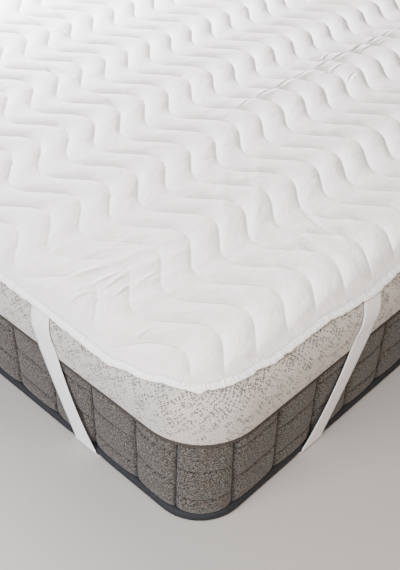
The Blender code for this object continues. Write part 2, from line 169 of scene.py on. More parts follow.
def draw_rings(stations, rings, place):
    """A mesh through rings of points: place(station, ring) gives each point its position."""
    mesh_data = bmesh.new()
    station_of = mesh_data.verts.layers.int.new("station")
    ring_of = mesh_data.verts.layers.int.new("ring")
    first = [mesh_data.verts.new(place(station, 0)) for station in range(stations)]
    for station, vert in enumerate(first):
        vert[station_of] = station
    edges = [mesh_data.edges.new(pair) for pair in zip(first, first[1:] + first[:1])]
    ends = [edges]
    for ring in range(1, rings):
        drawn = bmesh.ops.extrude_edge_only(mesh_data, edges=edges)["geom"]
        edges = edges_of(drawn)
        for vert in verts_of(drawn):
            vert.co = place(vert[station_of], ring)
            vert[ring_of] = ring
    ends.append(edges)
    return mesh_data, ends


def lay_uv(mesh_data, distances, rises):
    """A UV map in metres: each station's distance round the loop, and each ring's rise."""
    station_of = mesh_data.verts.layers.int["station"]
    ring_of = mesh_data.verts.layers.int["ring"]
    uv = mesh_data.loops.layers.uv.new("cloth")
    whole = distances[-1] - distances[0]
    for face in mesh_data.faces:
        passed = [distances[vert[station_of]] for vert in face.verts]
        wraps = max(passed) - min(passed) > whole / 2
        for loop in face.loops:
            distance = distances[loop.vert[station_of]]
            if wraps and distance < whole / 2:
                distance += whole
            loop[uv].uv = (distance, rises[loop.vert[ring_of]])


def finish_piece(name, mesh_data, material, slot, *nodes):
    """Make the object, let it ride on the part's body and stand for its nodes."""
    bmesh.ops.recalc_face_normals(mesh_data, faces=mesh_data.faces)
    mesh = bpy.data.meshes.new(name)
    mesh_data.to_mesh(mesh)
    mesh_data.free()
    mesh.shade_smooth()
    mesh.materials.append(material)
    piece = bpy.data.objects.new(name, mesh)
    bpy.context.collection.objects.link(piece)
    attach(piece, "root")
    if nodes:
        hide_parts(*nodes)
    triangles = sum(len(face.vertices) - 2 for face in mesh.polygons)
    print(name, "has", triangles, "triangles")
    return piece

# %% [markdown]
# ## Helpers for materials
#
# A material is a small graph of nodes. `put` adds one node and fills its inputs with numbers or with
# the outputs of other nodes, so that each recipe below reads from top to bottom.

# %% Add shader nodes with one short call
def new_material(name, roughness):
    material = bpy.data.materials.new(name)
    material.use_nodes = True
    inputs = material.node_tree.nodes["Principled BSDF"].inputs
    inputs["Roughness"].default_value = roughness
    inputs["Specular IOR Level"].default_value = 0.25
    return material, material.node_tree


def put(tree, kind, inputs=(), **settings):
    node = tree.nodes.new(kind)
    for key, value in settings.items():
        setattr(node, key, value)
    for key, value in dict(inputs).items():
        if isinstance(value, bpy.types.NodeSocket):
            tree.links.new(value, node.inputs[key])
        else:
            node.inputs[key].default_value = value
    return node


def reckon(tree, operation, *values):
    """A Math node: the values are numbers or outputs."""
    return put(tree, "ShaderNodeMath", dict(enumerate(values)), operation=operation).outputs[0]


def times(tree, value, other):
    return reckon(tree, "MULTIPLY", value, other)


def weighed(tree, *parts):
    """The sum of some values, each given with its weight."""
    total = 0.0
    for value, weight in parts:
        total = reckon(tree, "MULTIPLY_ADD", value, weight, total)
    return total


def teeth(tree, value, pitch):
    """0 at each whole pitch, and 0.5 halfway between two."""
    return reckon(tree, "PINGPONG", reckon(tree, "DIVIDE", value, pitch), 0.5)


def blend(tree, share, *colours):
    """A colour between two, each a tuple or an output: share is 0 for the first and 1 for the second."""
    first, second = [(*colour, 1) if isinstance(colour, tuple) else colour for colour in colours]
    return put(tree, "ShaderNodeMix", {0: share, 6: first, 7: second}, data_type="RGBA").outputs[2]


def ramp(tree, value, low, high, to_low=0.0, to_high=1.0, **settings):
    inputs = {0: value, 1: low, 2: high, 3: to_low, 4: to_high}
    return put(tree, "ShaderNodeMapRange", inputs, **settings).outputs[0]


def mottle(tree, vector, scale, detail=3.0, roughness=0.55):
    """A noise around 0.5, whose patches are about 1 / scale wide."""
    inputs = {"Vector": vector, "Scale": scale, "Detail": detail, "Roughness": roughness}
    return put(tree, "ShaderNodeTexNoise", inputs).outputs[0]


def stretched(tree, vector, x, y):
    """The same coordinates, stretched: a larger number packs a pattern closer along that axis."""
    return put(tree, "ShaderNodeMapping", {"Vector": vector, "Scale": (x, y, 1.0)}).outputs[0]


def uv_metres(tree):
    """The piece's own UV map, whose unit is a metre, as a vector and its two parts."""
    uv = put(tree, "ShaderNodeUVMap", uv_map="cloth").outputs[0]
    parts = put(tree, "ShaderNodeSeparateXYZ", {0: uv}).outputs
    return uv, parts[0], parts[1]


def dress(tree, colour, relief, depth, sheen=0.0, strength=1.0):
    """Give the shader its colour, its sheen and a relief that is this many metres deep."""
    shader = tree.nodes["Principled BSDF"]
    bump = put(tree, "ShaderNodeBump", {"Height": relief, "Distance": depth, "Strength": strength})
    tree.links.new(bump.outputs[0], shader.inputs["Normal"])
    tree.links.new(colour, shader.inputs["Base Color"])
    shader.inputs["Sheen Weight"].default_value = sheen

# %% [markdown]
# ## How the cloth lies
#
# The panel is a flat cut piece. It lies flat on the mattress, bends over its soft edge in a wider
# round than the mattress has, and its hem wanders where the straps pull it. `drape` carries any point
# of the flat piece to its place, so every part of the protector can be drawn flat first.

# %% Drape a flat point over the soft edge
HEM_PULLS = {
    "distance": (-0.4500, -0.3080, -0.2060, -0.1520, -0.1146, -0.0511, 0.0, 0.0170, 0.0511,
                 0.0681, 0.1021, 0.1320, 0.2060, 0.2520, 0.3080, 0.3600, 0.4020, 0.5000),
    "pull": (0.0, 0.0010, 0.0039, 0.0067, -0.0028, -0.0095, -0.0003, -0.0003, -0.0030,
             -0.0048, -0.0066, -0.0002, 0.0004, -0.0010, 0.0063, 0.0110, 0.0079, 0.0),
}
PULL_REACH = 0.070
HALF_ARC = PAD_CORNER * math.pi / 4


def from_corner(point):
    """Distance along the hem from the nearest corner's middle: minus towards the long sides."""
    local = point - PAD_SHIFT
    core = HALF_PAD - Vector((PAD_CORNER, PAD_CORNER))
    over_x = abs(local.x) - core.x
    over_y = abs(local.y) - core.y
    if over_x > 0 and over_y > 0:
        return PAD_CORNER * (math.atan2(over_y, over_x) - math.pi / 4)
    if over_y > over_x:
        return HALF_ARC - over_x
    return over_y - HALF_ARC


def hem_pull(distance):
    places = list(zip(HEM_PULLS["distance"], HEM_PULLS["pull"]))
    for (low, low_pull), (high, high_pull) in zip(places, places[1:]):
        if low <= distance <= high:
            share = (distance - low) / (high - low)
            return low_pull + (high_pull - low_pull) * share
    return 0.0


def drape(point, height):
    """A point of the cloth, laid flat at (x, y), on the mattress: height is above its underside."""
    reach, outward = side_reach(point, PAD_SHIFT, HALF_PAD, PAD_CORNER)
    share = max(0.0, 1 + reach / PULL_REACH)
    if share > 0:
        point = point + outward * hem_pull(from_corner(point)) * share
    past_side, outward = side_reach(point, CENTRE, HALF_MATTRESS, COVER_CORNER)
    over = past_side + EDGE_ROUND - BEND_LAG
    if over <= 0:
        return Vector((*point, CLOTH_TOP + height))
    angle = over / CLOTH_ROUND
    radius = CLOTH_ROUND + height
    flat = point + outward * (radius * math.sin(angle) - over)
    return Vector((*flat, CLOTH_TOP - CLOTH_ROUND + radius * math.cos(angle)))


hem_middle = drape(Vector((0.0, -HALF_PAD.y + PAD_SHIFT.y)), 0.0)
print("The hem hangs", round((CLOTH_TOP - hem_middle.z) * 1000), "mm below the top")

# %% [markdown]
# ## The quilting
#
# A multi-needle machine sews the lines, all side by side and all alike: rounded zigzags that nest in
# each other. Each line pulls the wadding down to a narrow groove, and it swells between them. The
# height is a formula of the flat place, so a net of any fineness can be raised by it.

# %% Work out the zigzag and the height of the quilting
LINE_SPACING = 0.0635
HALF_WAVE = 0.100
WAVE_SWING = 0.060
WAVE_ROUNDING = 0.35
STITCH_TURN = math.radians(-2.24)
STITCH_START = Vector((-0.726, -0.885))
STITCH_HEIGHT = 0.0024
CROWN_HEIGHT = 0.0086
GROOVE_WIDTH = 0.0055
HEM_FADE = 0.016
HEM_SLOPE = 0.058
TAUT_PLACES = (
    {"place": (0.13, 0.33), "radius": 0.13, "share": 0.65},
    {"place": (0.42, 0.12), "radius": 0.09, "share": 0.35},
)


def wave(along):
    """Sideways place of a line: zero at its right-hand turns, -WAVE_SWING at its left-hand ones."""
    share = (along / HALF_WAVE) % 2
    rise = share if share <= 1 else 2 - share
    if rise < WAVE_ROUNDING:
        eased = rise * rise / (2 * WAVE_ROUNDING)
    elif rise > 1 - WAVE_ROUNDING:
        eased = 1 - WAVE_ROUNDING - (1 - rise) ** 2 / (2 * WAVE_ROUNDING)
    else:
        eased = rise - WAVE_ROUNDING / 2
    return -WAVE_SWING * eased / (1 - WAVE_ROUNDING)


def turned(vector, angle):
    cos, sin = math.cos(angle), math.sin(angle)
    return Vector((vector.x * cos - vector.y * sin, vector.x * sin + vector.y * cos))


def stitch_place(flat):
    """Across and along the stitching: whole multiples of LINE_SPACING across lie on a line."""
    local = turned(flat - STITCH_START, -STITCH_TURN)
    return local.x - wave(local.y), local.y


def tautness(flat):
    """How far a strap pulls the cloth flat: 0 where it doesn't."""
    total = 0.0
    for taut in TAUT_PLACES:
        away = (flat + HALF_MATTRESS - Vector(taut["place"])).length / taut["radius"]
        total += taut["share"] * math.exp(-away * away)
    return total


def eased(value):
    """0 to 1, leaving and arriving gently."""
    value = min(1.0, max(0.0, value))
    return value * value * (3 - 2 * value)


def fullness(flat):
    """The wadding is pressed down near the straps and fuller further in."""
    away = (flat + HALF_MATTRESS).length
    return 0.94 + 0.46 * eased((away - 0.45) / 0.75)


def quilt_height(flat):
    across, _ = stitch_place(flat)
    share = (across / LINE_SPACING) % 1
    off_line = min(share, 1 - share) * LINE_SPACING
    shoulder = 1 - math.exp(-(off_line / GROOVE_WIDTH) ** 1.25)
    swell = math.sin(math.pi * share)
    puff = 0.55 * shoulder + 0.45 * swell
    puff += (0.68 - puff) * tautness(flat)
    unevenness = 0.0011 * noise.noise(Vector((*flat, 0)) * 9)
    wrinkles = 0.0006 * noise.noise(Vector((*flat, 5)) * 34)
    swelling = (CROWN_HEIGHT - STITCH_HEIGHT) * fullness(flat)
    return STITCH_HEIGHT + (swelling + unevenness + wrinkles) * puff


print("Lines across the panel:", math.floor(2 * HALF_PAD.x / LINE_SPACING))

# %% [markdown]
# ## Creases
#
# New quilting keeps creases from its packing, and each strap draws fine wrinkles out of the hem. They
# are given one by one, each as a row of the table: where it starts and ends, measured from the front
# left corner of the mattress, how high it stands and how wide it is. Soft ridges look like cloth,
# while sharp ones look like paper, so each fades along its width as a bell curve does.

# %% Place the creases
# Each row: where it starts and ends, its height and its width
CREASES = (
    ((0.62, 0.527), (0.88, 0.524), 0.0022, 0.009),
    ((0.86, 0.526), (1.20, 0.520), 0.0026, 0.010),
    ((0.47, 0.70), (0.49, 1.00), 0.0020, 0.009),
    ((0.53, 0.76), (0.55, 1.05), 0.0018, 0.009),
    ((0.60, 0.80), (0.63, 1.20), 0.0020, 0.010),
    ((0.03, 0.455), (0.19, 0.445), 0.0005, 0.006),
    ((0.03, 0.42), (0.22, 0.40), 0.0007, 0.006),
    ((0.03, 0.385), (0.24, 0.352), 0.0009, 0.006),
    ((0.03, 0.350), (0.25, 0.305), 0.0012, 0.006),
    ((0.04, 0.318), (0.25, 0.268), 0.0013, 0.006),
    ((0.05, 0.285), (0.22, 0.232), 0.0012, 0.006),
    ((0.07, 0.248), (0.19, 0.200), 0.0009, 0.006),
    ((0.36, 0.06), (0.395, 0.25), 0.0024, 0.007),
    ((0.395, 0.05), (0.435, 0.26), 0.0026, 0.006),
    ((0.43, 0.06), (0.475, 0.22), 0.0020, 0.007),
    ((0.47, 0.06), (0.52, 0.20), 0.0014, 0.007),
    ((0.30, 0.24), (0.47, 0.40), 0.0016, 0.008),
    ((0.34, 0.21), (0.52, 0.36), 0.0018, 0.007),
    ((0.20, 0.055), (0.225, 0.13), 0.0016, 0.006),
    ((0.24, 0.05), (0.27, 0.14), 0.0014, 0.006),
    ((0.29, 0.05), (0.315, 0.15), 0.0018, 0.006),
)


def crease_height(flat):
    total = 0.0
    for start, end, height, width in CREASES:
        run = Vector(end) - Vector(start)
        offset = flat + HALF_MATTRESS - Vector(start)
        share = offset.dot(run) / run.length_squared
        if not -0.2 < share < 1.2:
            continue
        distance = (offset - run * share).length / width
        if distance < 3:
            fade = math.sin(math.pi * (share + 0.2) / 1.4)
            total += height * fade * math.exp(-distance * distance)
    return total


print("Creases placed:", len(CREASES))

# %% [markdown]
# ## The quilted panel
#
# `create_grid` gives a net of squares. Its rows are moved to follow the stitching, close together
# beside each line, where the cloth turns sharply, and further apart on the crown. `bisect_plane` then
# trims the net to the panel's outline, as scissors would. The edge is drawn out into the thin raw
# hem, down and back beneath the panel, and one face closes the underside. Last of all it is draped.

# %% Model the panel
ROW_SHARES = (0.0, 0.025, 0.06, 0.12, 0.22, 0.36, 0.5, 0.64, 0.78, 0.88, 0.94, 0.975)
NEAR_STEP = HALF_WAVE / 20
FAR_STEP = HALF_WAVE / 10
NEAR_LENGTH = 0.75
UNDERSIDE_INSETS = (0.0135, 0.025, 0.036, 0.046, 0.058, 0.078)


def stitch_rows():
    """Distances across the stitching for the rows of the net."""
    lines = range(-2, math.ceil((2 * HALF_PAD.x + WAVE_SWING) / LINE_SPACING) + 2)
    return [(line + share) * LINE_SPACING for line in lines for share in ROW_SHARES]


def stitch_columns():
    """Distances along the stitching: closer together where the camera is near."""
    places = [-2 * HALF_WAVE]
    while places[-1] < 2 * HALF_PAD.y + HALF_WAVE:
        places.append(places[-1] + (NEAR_STEP if places[-1] < NEAR_LENGTH else FAR_STEP))
    return places


def net_of_stitching():
    rows = stitch_rows()
    columns = stitch_columns()
    net = bmesh.new()
    bmesh.ops.create_grid(net, x_segments=len(rows) - 1, y_segments=len(columns) - 1, size=0.5)
    for vert in net.verts:
        across = rows[round((vert.co.x + 0.5) * (len(rows) - 1))]
        along = columns[round((vert.co.y + 0.5) * (len(columns) - 1))]
        flat = STITCH_START + turned(Vector((across + wave(along), along)), STITCH_TURN)
        vert.co = (*flat, 0)
    return net


def trim_to_outline(net, inset):
    path, _ = outline(HALF_PAD - Vector((inset, inset)), PAD_CORNER - inset, 0.012)
    seen = []
    for point, outward in path:
        if any((outward - other).length < 1e-6 for other in seen):
            continue
        seen.append(outward)
        bmesh.ops.bisect_plane(
            net,
            geom=net.verts[:] + net.edges[:] + net.faces[:],
            dist=1e-5,
            plane_co=(*(point + PAD_SHIFT), 0),
            plane_no=(*outward, 0),
            clear_outer=True,
        )


def draw_edge(net, inset, height):
    """Draw the panel's edge out, or back beneath it, to this inset from its outline."""
    edges = [edge for edge in net.edges if edge.is_boundary]
    drawn = bmesh.ops.extrude_edge_only(net, edges=edges)["geom"]
    for vert in verts_of(drawn):
        reach, outward = side_reach(vert.co.xy, PAD_SHIFT, HALF_PAD, PAD_CORNER)
        vert.co = (*(vert.co.xy - outward * (reach + inset)), height)
    return edges_of(drawn)


def raise_quilting(net):
    """Give the upper face its height: thin at the binding, and full only some way in."""
    for vert in net.verts:
        flat = vert.co.xy
        reach, _ = side_reach(flat, PAD_SHIFT, HALF_PAD, PAD_CORNER)
        inside = -reach - HEM_STRIP
        fade = 0.62 * eased(inside / HEM_FADE) + 0.38 * eased(inside / HEM_SLOPE)
        full = quilt_height(flat) + crease_height(flat)
        vert.co.z = HEM_THICKNESS + (full - HEM_THICKNESS) * fade


def lay_stitch_uv(net):
    """A UV map in metres, across and along the stitching."""
    uv = net.loops.layers.uv.new("cloth")
    for face in net.faces:
        for loop in face.loops:
            loop[uv].uv = stitch_place(loop.vert.co.xy)


def model_panel():
    net = net_of_stitching()
    trim_to_outline(net, HEM_STRIP)
    raise_quilting(net)
    draw_edge(net, EDGE_INSET, HEM_THICKNESS)
    draw_edge(net, EDGE_INSET, 0.0)
    for inset in UNDERSIDE_INSETS:
        last = draw_edge(net, inset, 0.0)
    bmesh.ops.edgeloop_fill(net, edges=last)
    lay_stitch_uv(net)
    for vert in net.verts:
        vert.co = drape(vert.co.xy, vert.co.z)
    return net


panel_net = model_panel()
print("The panel's net has", len(panel_net.verts), "points")

# %% [markdown]
# ## Fine creases
#
# Some creases are finer than the net can show, so they go into the material as relief. A spherical
# gradient is 1 in its middle and 0 at its rim, and stretched along a line it becomes a long, thin
# lens. The node's own mapping stretches it, because a Mapping node for each of so many creases would
# make the material too heavy for the renderer.

# %% Place the fine creases
# Each row: where it starts and ends, its half width and its depth, which is below 0 for a furrow
FINE_CREASES = (
    ((1.240, 0.520), (0.820, 0.524), 0.0068, -1.15),
    ((0.940, 0.528), (0.600, 0.525), 0.0057, -0.98),
    ((1.133, 0.501), (1.028, 0.514), 0.0054, 0.80),
    ((0.980, 0.501), (0.855, 0.495), 0.0051, 0.75),
    ((0.985, 0.553), (0.895, 0.536), 0.0051, 0.80),
    ((0.957, 0.457), (0.870, 0.430), 0.0054, -0.63),
    ((0.615, 1.230), (0.617, 1.100), 0.0081, 1.03),
    ((0.608, 1.110), (0.634, 0.985), 0.0074, 1.03),
    ((0.686, 1.200), (0.683, 1.090), 0.0074, 0.92),
    ((0.536, 0.860), (0.542, 0.755), 0.0061, 0.98),
    ((0.478, 0.795), (0.484, 0.680), 0.0057, 0.98),
    ((0.501, 0.935), (0.490, 0.800), 0.0065, -0.92),
    ((0.479, 0.985), (0.485, 0.860), 0.0065, 0.92),
    ((0.054, 0.350), (0.136, 0.328), 0.0071, 0.52),
    ((0.069, 0.311), (0.137, 0.302), 0.0065, 0.57),
    ((0.069, 0.291), (0.142, 0.293), 0.0065, 0.57),
    ((0.076, 0.265), (0.130, 0.271), 0.0065, 0.52),
    ((0.019, 0.312), (0.080, 0.297), 0.0065, 0.47),
    ((0.124, 0.260), (0.180, 0.266), 0.0061, 0.47),
    ((0.014, 0.178), (0.085, 0.175), 0.0061, 0.38),
    ((0.457, 0.219), (0.438, 0.133), 0.0071, -0.57),
    ((0.397, 0.196), (0.402, 0.130), 0.0068, -0.47),
)


def fine_creases(tree, place):
    """Relief of the fine creases: each fades out at both ends and both sides."""
    ridges = []
    for start, end, width, depth in FINE_CREASES:
        run = Vector(end) - Vector(start)
        gradient = put(tree, "ShaderNodeTexGradient", {"Vector": place}, gradient_type="SPHERICAL")
        mapping = gradient.texture_mapping
        mapping.vector_type = "TEXTURE"
        mapping.translation = (*(Vector(start) + run / 2 - HALF_MATTRESS), 0)
        mapping.rotation = (0, 0, math.atan2(run.y, run.x))
        mapping.scale = (run.length / 2, width, 1000)
        lens = gradient.outputs["Fac"]
        ridges.append((ramp(tree, lens, 0.0, 1.0, interpolation_type="SMOOTHSTEP"), depth))
    return weighed(tree, *ridges)


print("Fine creases placed:", len(FINE_CREASES))

# %% [markdown]
# ## The white cotton
#
# The panel's cloth is a fine plain weave, bleached white. Seen close, it is not quite even: small
# gathers cross each line where the thread draws the cloth in, longer pulls lie over some patches,
# and the thread itself shows as a row of short stitches in its groove. The relief is a weighed sum
# of all of them. A noise sways the creases, so that they don't look ruled.

# %% Mix the white cotton and finish the panel
STITCH_LENGTH = 0.0036


def swaying(tree, place, amount):
    """The same place, moved a little to and fro by a noise."""
    sway = put(tree, "ShaderNodeTexNoise", {"Vector": place, "Scale": 22.0, "Detail": 1.0})
    halves = {0: sway.outputs["Color"], 1: (0.5, 0.5, 0.5)}
    centred = put(tree, "ShaderNodeVectorMath", halves, operation="SUBTRACT").outputs[0]
    moved = {0: centred, 1: (amount, amount, 0.0), 2: place}
    return put(tree, "ShaderNodeVectorMath", moved, operation="MULTIPLY_ADD").outputs[0]


def cotton():
    material, tree = new_material("quilted_cotton", 0.85)
    uv, across, along = uv_metres(tree)
    place = put(tree, "ShaderNodeTexCoord").outputs["Object"]
    off_line = teeth(tree, across, LINE_SPACING)
    on_line = ramp(tree, off_line, 0.006, 0.016, 1.0, 0.0)
    thread = times(tree, on_line, ramp(tree, teeth(tree, along, STITCH_LENGTH), 0.08, 0.2))
    beside_line = ramp(tree, off_line, 0.0, 0.16, 1.10, 0.10)
    gathers = times(tree, mottle(tree, stretched(tree, uv, 28, 105), 1.0, 2.0), beside_line)
    patches = ramp(tree, mottle(tree, uv, 5.0, 2.0), 0.42, 0.62)
    pulls = reckon(tree, "SUBTRACT", mottle(tree, stretched(tree, place, 48, 10), 1.0, 2.0), 0.5)
    pulls = times(tree, reckon(tree, "ABSOLUTE", pulls), patches)
    soft = mottle(tree, uv, 26.0, 4.0, 0.6)
    weave = mottle(tree, uv, 1400.0, 2.0)
    creases = fine_creases(tree, swaying(tree, place, 0.010))
    relief = weighed(
        tree, (gathers, 0.4), (pulls, 0.8), (soft, 0.9), (weave, 0.05), (thread, 0.07), (creases, 1.0)
    )
    white = blend(tree, mottle(tree, uv, 6.0), (0.755, 0.732, 0.728), (0.815, 0.792, 0.788))
    dress(tree, white, relief, 0.0034, sheen=0.15)
    return material


panel = finish_piece("quilted_panel", panel_net, cotton(), "quilted_cotton", "pad")

# %% [markdown]
# ## The binding
#
# A tape is folded over the raw edge and sewn through, so its section is a flat U. It takes the edge
# in, swells a little beside the row of stitches, and gathers in small ribs, most of all round the
# corners. The section below is a short table, and `draw_rings` carries it round the hem.

# %% Model the binding tape
BINDING_SECTION = {
    "inset": (0.0123, 0.0118, 0.0105, 0.0085, 0.0060, 0.0035, 0.0015, 0.0002, 0.0002, 0.0015, 0.0050,
              0.0120, 0.0120, 0.0020, 0.0018, 0.0116),
    "height": (0.0028, 0.0033, 0.0036, 0.0043, 0.0047, 0.0046, 0.0039, 0.0025, 0.0005, -0.0008, -0.0014,
               -0.0014, -0.0006, -0.0006, 0.0028, 0.0028),
    "rib": (0.0, 0.3, 0.8, 1.0, 1.0, 0.9, 0.6, 0.3, 0.2, 0.0, 0.0, 0.0, 0.0, 0.0, 0.0, 0.0),
}
BINDING_STEP = 0.0022
RIB_PITCH = 0.0072
PUCKER_PLACE = 0.010


def rib_height(distance, place):
    """Small ribs across the tape, strongest round the corners."""
    around_corner = math.exp(-((distance + 0.02) / 0.10) ** 2)
    strength = 0.0005 + 0.0007 * around_corner
    uneven = 0.6 + 0.8 * noise.noise(Vector((place * 30, 0, 7)))
    shifted = place + 0.0012 * noise.noise(Vector((place * 45, 9, 2)))
    lumps = 0.0011 * noise.noise(Vector((place * 120, 4, 0)))
    return strength * uneven * math.sin(2 * math.pi * shifted / RIB_PITCH) + lumps


def edge_wander(distance, place):
    """The hem's small wander, and the pucker at the middle of each corner."""
    wander = 0.0013 * noise.noise(Vector((place * 24, 3, 0)))
    wander += 0.0021 * noise.noise(Vector((place * 85, 6, 0)))
    pucker = 0.0026 * math.exp(-((distance - PUCKER_PLACE + 0.006) / 0.007) ** 2)
    notch = 0.0024 * math.exp(-((distance - PUCKER_PLACE - 0.008) / 0.006) ** 2)
    return wander + pucker - notch


def model_binding():
    path, distances = outline(HALF_PAD, PAD_CORNER, BINDING_STEP)
    section = list(zip(*BINDING_SECTION.values()))

    def place(station, ring):
        inset, height, rib = section[ring]
        point, outward = path[station]
        distance = from_corner(point + PAD_SHIFT)
        shift = edge_wander(distance, distances[station]) * (1 - inset / 0.0125)
        flat = point + PAD_SHIFT - outward * (inset - shift)
        return drape(flat, height + rib * rib_height(distance, distances[station]))

    tape, ends = draw_rings(len(path), len(section), place)
    lay_uv(tape, distances, [ring * 0.0025 for ring in range(len(section))])
    bmesh.ops.bridge_loops(tape, edges=ends[0] + ends[1])
    return tape


binding_mesh = model_binding()
print("The binding has", len(binding_mesh.verts), "points")

# %% [markdown]
# The tape is the same white cotton, painted brighter than the panel: a painted highlight for the hem,
# which catches more light. Its weave runs across it, and a row of stitches holds it 2 mm from its
# inner edge. That edge is sewn down into a narrow groove which light hardly reaches, and that shade
# is painted into the colour as a darker band.

# %% Mix the tape's white and finish the binding
def tape_cotton():
    material, tree = new_material("binding_tape", 0.8)
    uv, around, across = uv_metres(tree)
    ribs = mottle(tree, stretched(tree, uv, 330, 70), 1.0, 3.0)
    soft = mottle(tree, uv, 300.0, 4.0, 0.65)
    off_row = reckon(tree, "ABSOLUTE", reckon(tree, "SUBTRACT", across, 0.0050))
    on_row = ramp(tree, off_row, 0.0, 0.0008, 1.0, 0.0)
    thread = times(tree, on_row, ramp(tree, teeth(tree, around, 0.0032), 0.1, 0.25))
    # Painted highlight: the tape's white is brighter than the panel's, standing in for the stronger light
    # on the hem.
    white = blend(tree, soft, (0.94, 0.94, 0.945), (0.98, 0.98, 0.985))
    # Painted shade: the colour darkens towards the inner edge, in the groove where shade falls.
    inner_shade = ramp(tree, across, 0.0002, 0.0022, 0.55, 0.0)
    groove_shaded = blend(tree, inner_shade, white, (0.42, 0.42, 0.43))
    dress(tree, groove_shaded, weighed(tree, (ribs, 1.0), (soft, 0.8), (thread, -0.4)), 0.0026, sheen=0.45)
    return material


binding = finish_piece("hem_binding", binding_mesh, tape_cotton(), "binding_tape", "binding")

# %% [markdown]
# ## The mattress's cover
#
# The upper part of the mattress is wrapped in a pale knit. Its section runs up from the seam, over
# the soft round edge and in beneath the protector. Rings follow that section, and one face closes the
# top and one the bottom, where the border hides it.

# %% Model the cover
COVER_STEP = 0.012
ROUND_STEPS = 14


def cover_section():
    """Inset and height of each ring of the cover, from the seam to the top."""
    section = [(0.0060, SEAM_HEIGHT), (0.0022, SEAM_HEIGHT + 0.0003), (0.0006, SEAM_HEIGHT + 0.0018)]
    section += [(0.0, SEAM_HEIGHT + 0.0045), (0.0, SEAM_HEIGHT + 0.015), (0.0, SEAM_HEIGHT + 0.025)]
    for step in range(ROUND_STEPS + 1):
        angle = step * math.pi / 2 / ROUND_STEPS
        inset = EDGE_ROUND * (1 - math.cos(angle))
        section.append((inset, MATTRESS_TOP - EDGE_ROUND * (1 - math.sin(angle))))
    return section


def section_lengths(section):
    """How far along its section each ring lies."""
    lengths = [0.0]
    for (inset, height), (next_inset, next_height) in zip(section, section[1:]):
        lengths.append(lengths[-1] + math.hypot(next_inset - inset, next_height - height))
    return lengths


def model_cover():
    path, distances = outline(HALF_MATTRESS, COVER_CORNER, COVER_STEP)
    section = cover_section()

    def place(station, ring):
        inset, height = section[ring]
        point, outward = path[station]
        dent = 0.0006 * (1 + noise.noise(Vector((*point, height)) * 14))
        return Vector((*(point - outward * (inset + dent)), height))

    shell, ends = draw_rings(len(path), len(section), place)
    lay_uv(shell, distances, section_lengths(section))
    for edges in ends:
        bmesh.ops.edgeloop_fill(shell, edges=edges)
    return shell


cover_mesh = model_cover()
print("The cover has", len(cover_mesh.verts), "points")

# %% [markdown]
# The knit is full of pinholes, which lie in short slanting strings, thick near the top and thinner
# lower down. A Voronoi texture with little randomness gives near-even cells, a small spot in the
# middle of each is a hole, and two noises, stretched along the slants, pick the cells that are open.

# %% Mix the pale knit and finish the cover
PINHOLE_PITCH = 0.0046


def strung_holes(tree, uv, degrees, wanted):
    """Pinholes in short strings that slant by this angle: 1 in a hole and 0 beside it."""
    turn = (0, 0, math.radians(degrees))
    slanting = put(tree, "ShaderNodeMapping", {"Vector": uv, "Rotation": turn}).outputs[0]
    string = mottle(tree, stretched(tree, slanting, 44, 130), 1.0, 1.0)
    longer = stretched(tree, slanting, 0.72, 1.45)
    inputs = {"Vector": longer, "Scale": 1 / PINHOLE_PITCH, "Randomness": 0.32}
    cells = put(tree, "ShaderNodeTexVoronoi", inputs, voronoi_dimensions="2D")
    spot = ramp(tree, cells.outputs["Distance"], 0.20, 0.33, 1.0, 0.0)
    return times(tree, spot, ramp(tree, reckon(tree, "ADD", string, wanted), 0.53, 0.58))


def knit():
    material, tree = new_material("knit_cover", 0.92)
    uv, _, up = uv_metres(tree)
    clusters = ramp(tree, mottle(tree, uv, 22.0, 2.0), 0.3, 0.7, -0.035, 0.04)
    wanted = reckon(tree, "ADD", clusters, ramp(tree, up, 0.0, 0.10, -0.06, 0.05))
    slants = [strung_holes(tree, uv, degrees, wanted) for degrees in (42, -36)]
    holes = reckon(tree, "MAXIMUM", *slants)
    nubs = mottle(tree, stretched(tree, uv, 1.0, 1.6), 430.0, 2.0, 0.6)
    pale = blend(tree, ramp(tree, nubs, 0.35, 0.65), (0.27, 0.256, 0.244), (0.60, 0.572, 0.545))
    drift = ramp(tree, mottle(tree, uv, 9.0, 3.0), 0.35, 0.7, 0.0, 0.30)
    toned = blend(tree, drift, pale, (0.37, 0.338, 0.305))
    holed = blend(tree, times(tree, holes, 0.85), toned, (0.045, 0.042, 0.038))
    dress(tree, holed, weighed(tree, (nubs, 0.7), (holes, -1.0)), 0.0014, sheen=0.2)
    return material


cover = finish_piece("knit_cover", cover_mesh, knit(), "knit_cover", "mattress_cover")

# %% [markdown]
# ## The border
#
# The border is a padded strip, sewn into upright boxes with deep seams. Each box is quilted across
# twice, and the rows are staggered from one box to the next. The seams and rows are worked out as a
# depth for each point, so one net of rings carries them all.

# %% Work out the border's boxes
BOX_SIDES = {
    "end": {"first": 0.168, "boxes": 14, "corner": (17.7, 65.8)},
    "long side": {"first": 0.141, "boxes": 18, "corner": (24.2, 72.3)},
}
SHARES_IN_BOX = (0.0, 0.012, 0.03, 0.06, 0.11, 0.19, 0.30, 0.43, 0.57, 0.70, 0.81, 0.89, 0.94, 0.97, 0.988)
BOX_ROWS = ((0.38, 0.78), (0.17, 0.59))
BOX_SEAM_DEPTH = 0.0075
ROW_DEPTH = 0.0040


def seam_distances():
    """Where the upright seams lie, as distances round the mattress, and the whole way round."""
    distances = []
    passed = 0.0
    sizes = (("end", 2 * HALF_MATTRESS.x), ("long side", 2 * HALF_MATTRESS.y)) * 2
    for side, size in sizes:
        places = BOX_SIDES[side]
        straight = size - 2 * COVER_CORNER
        first = places["first"] - COVER_CORNER
        pitch = (straight - 2 * first) / places["boxes"]
        distances.extend(passed + first + box * pitch for box in range(places["boxes"] + 1))
        passed += straight
        distances.extend(passed + COVER_CORNER * math.radians(degrees) for degrees in places["corner"])
        passed += COVER_CORNER * math.pi / 2
    return distances, passed


seams, whole_round = seam_distances()
print("Boxes in the border:", len(seams))

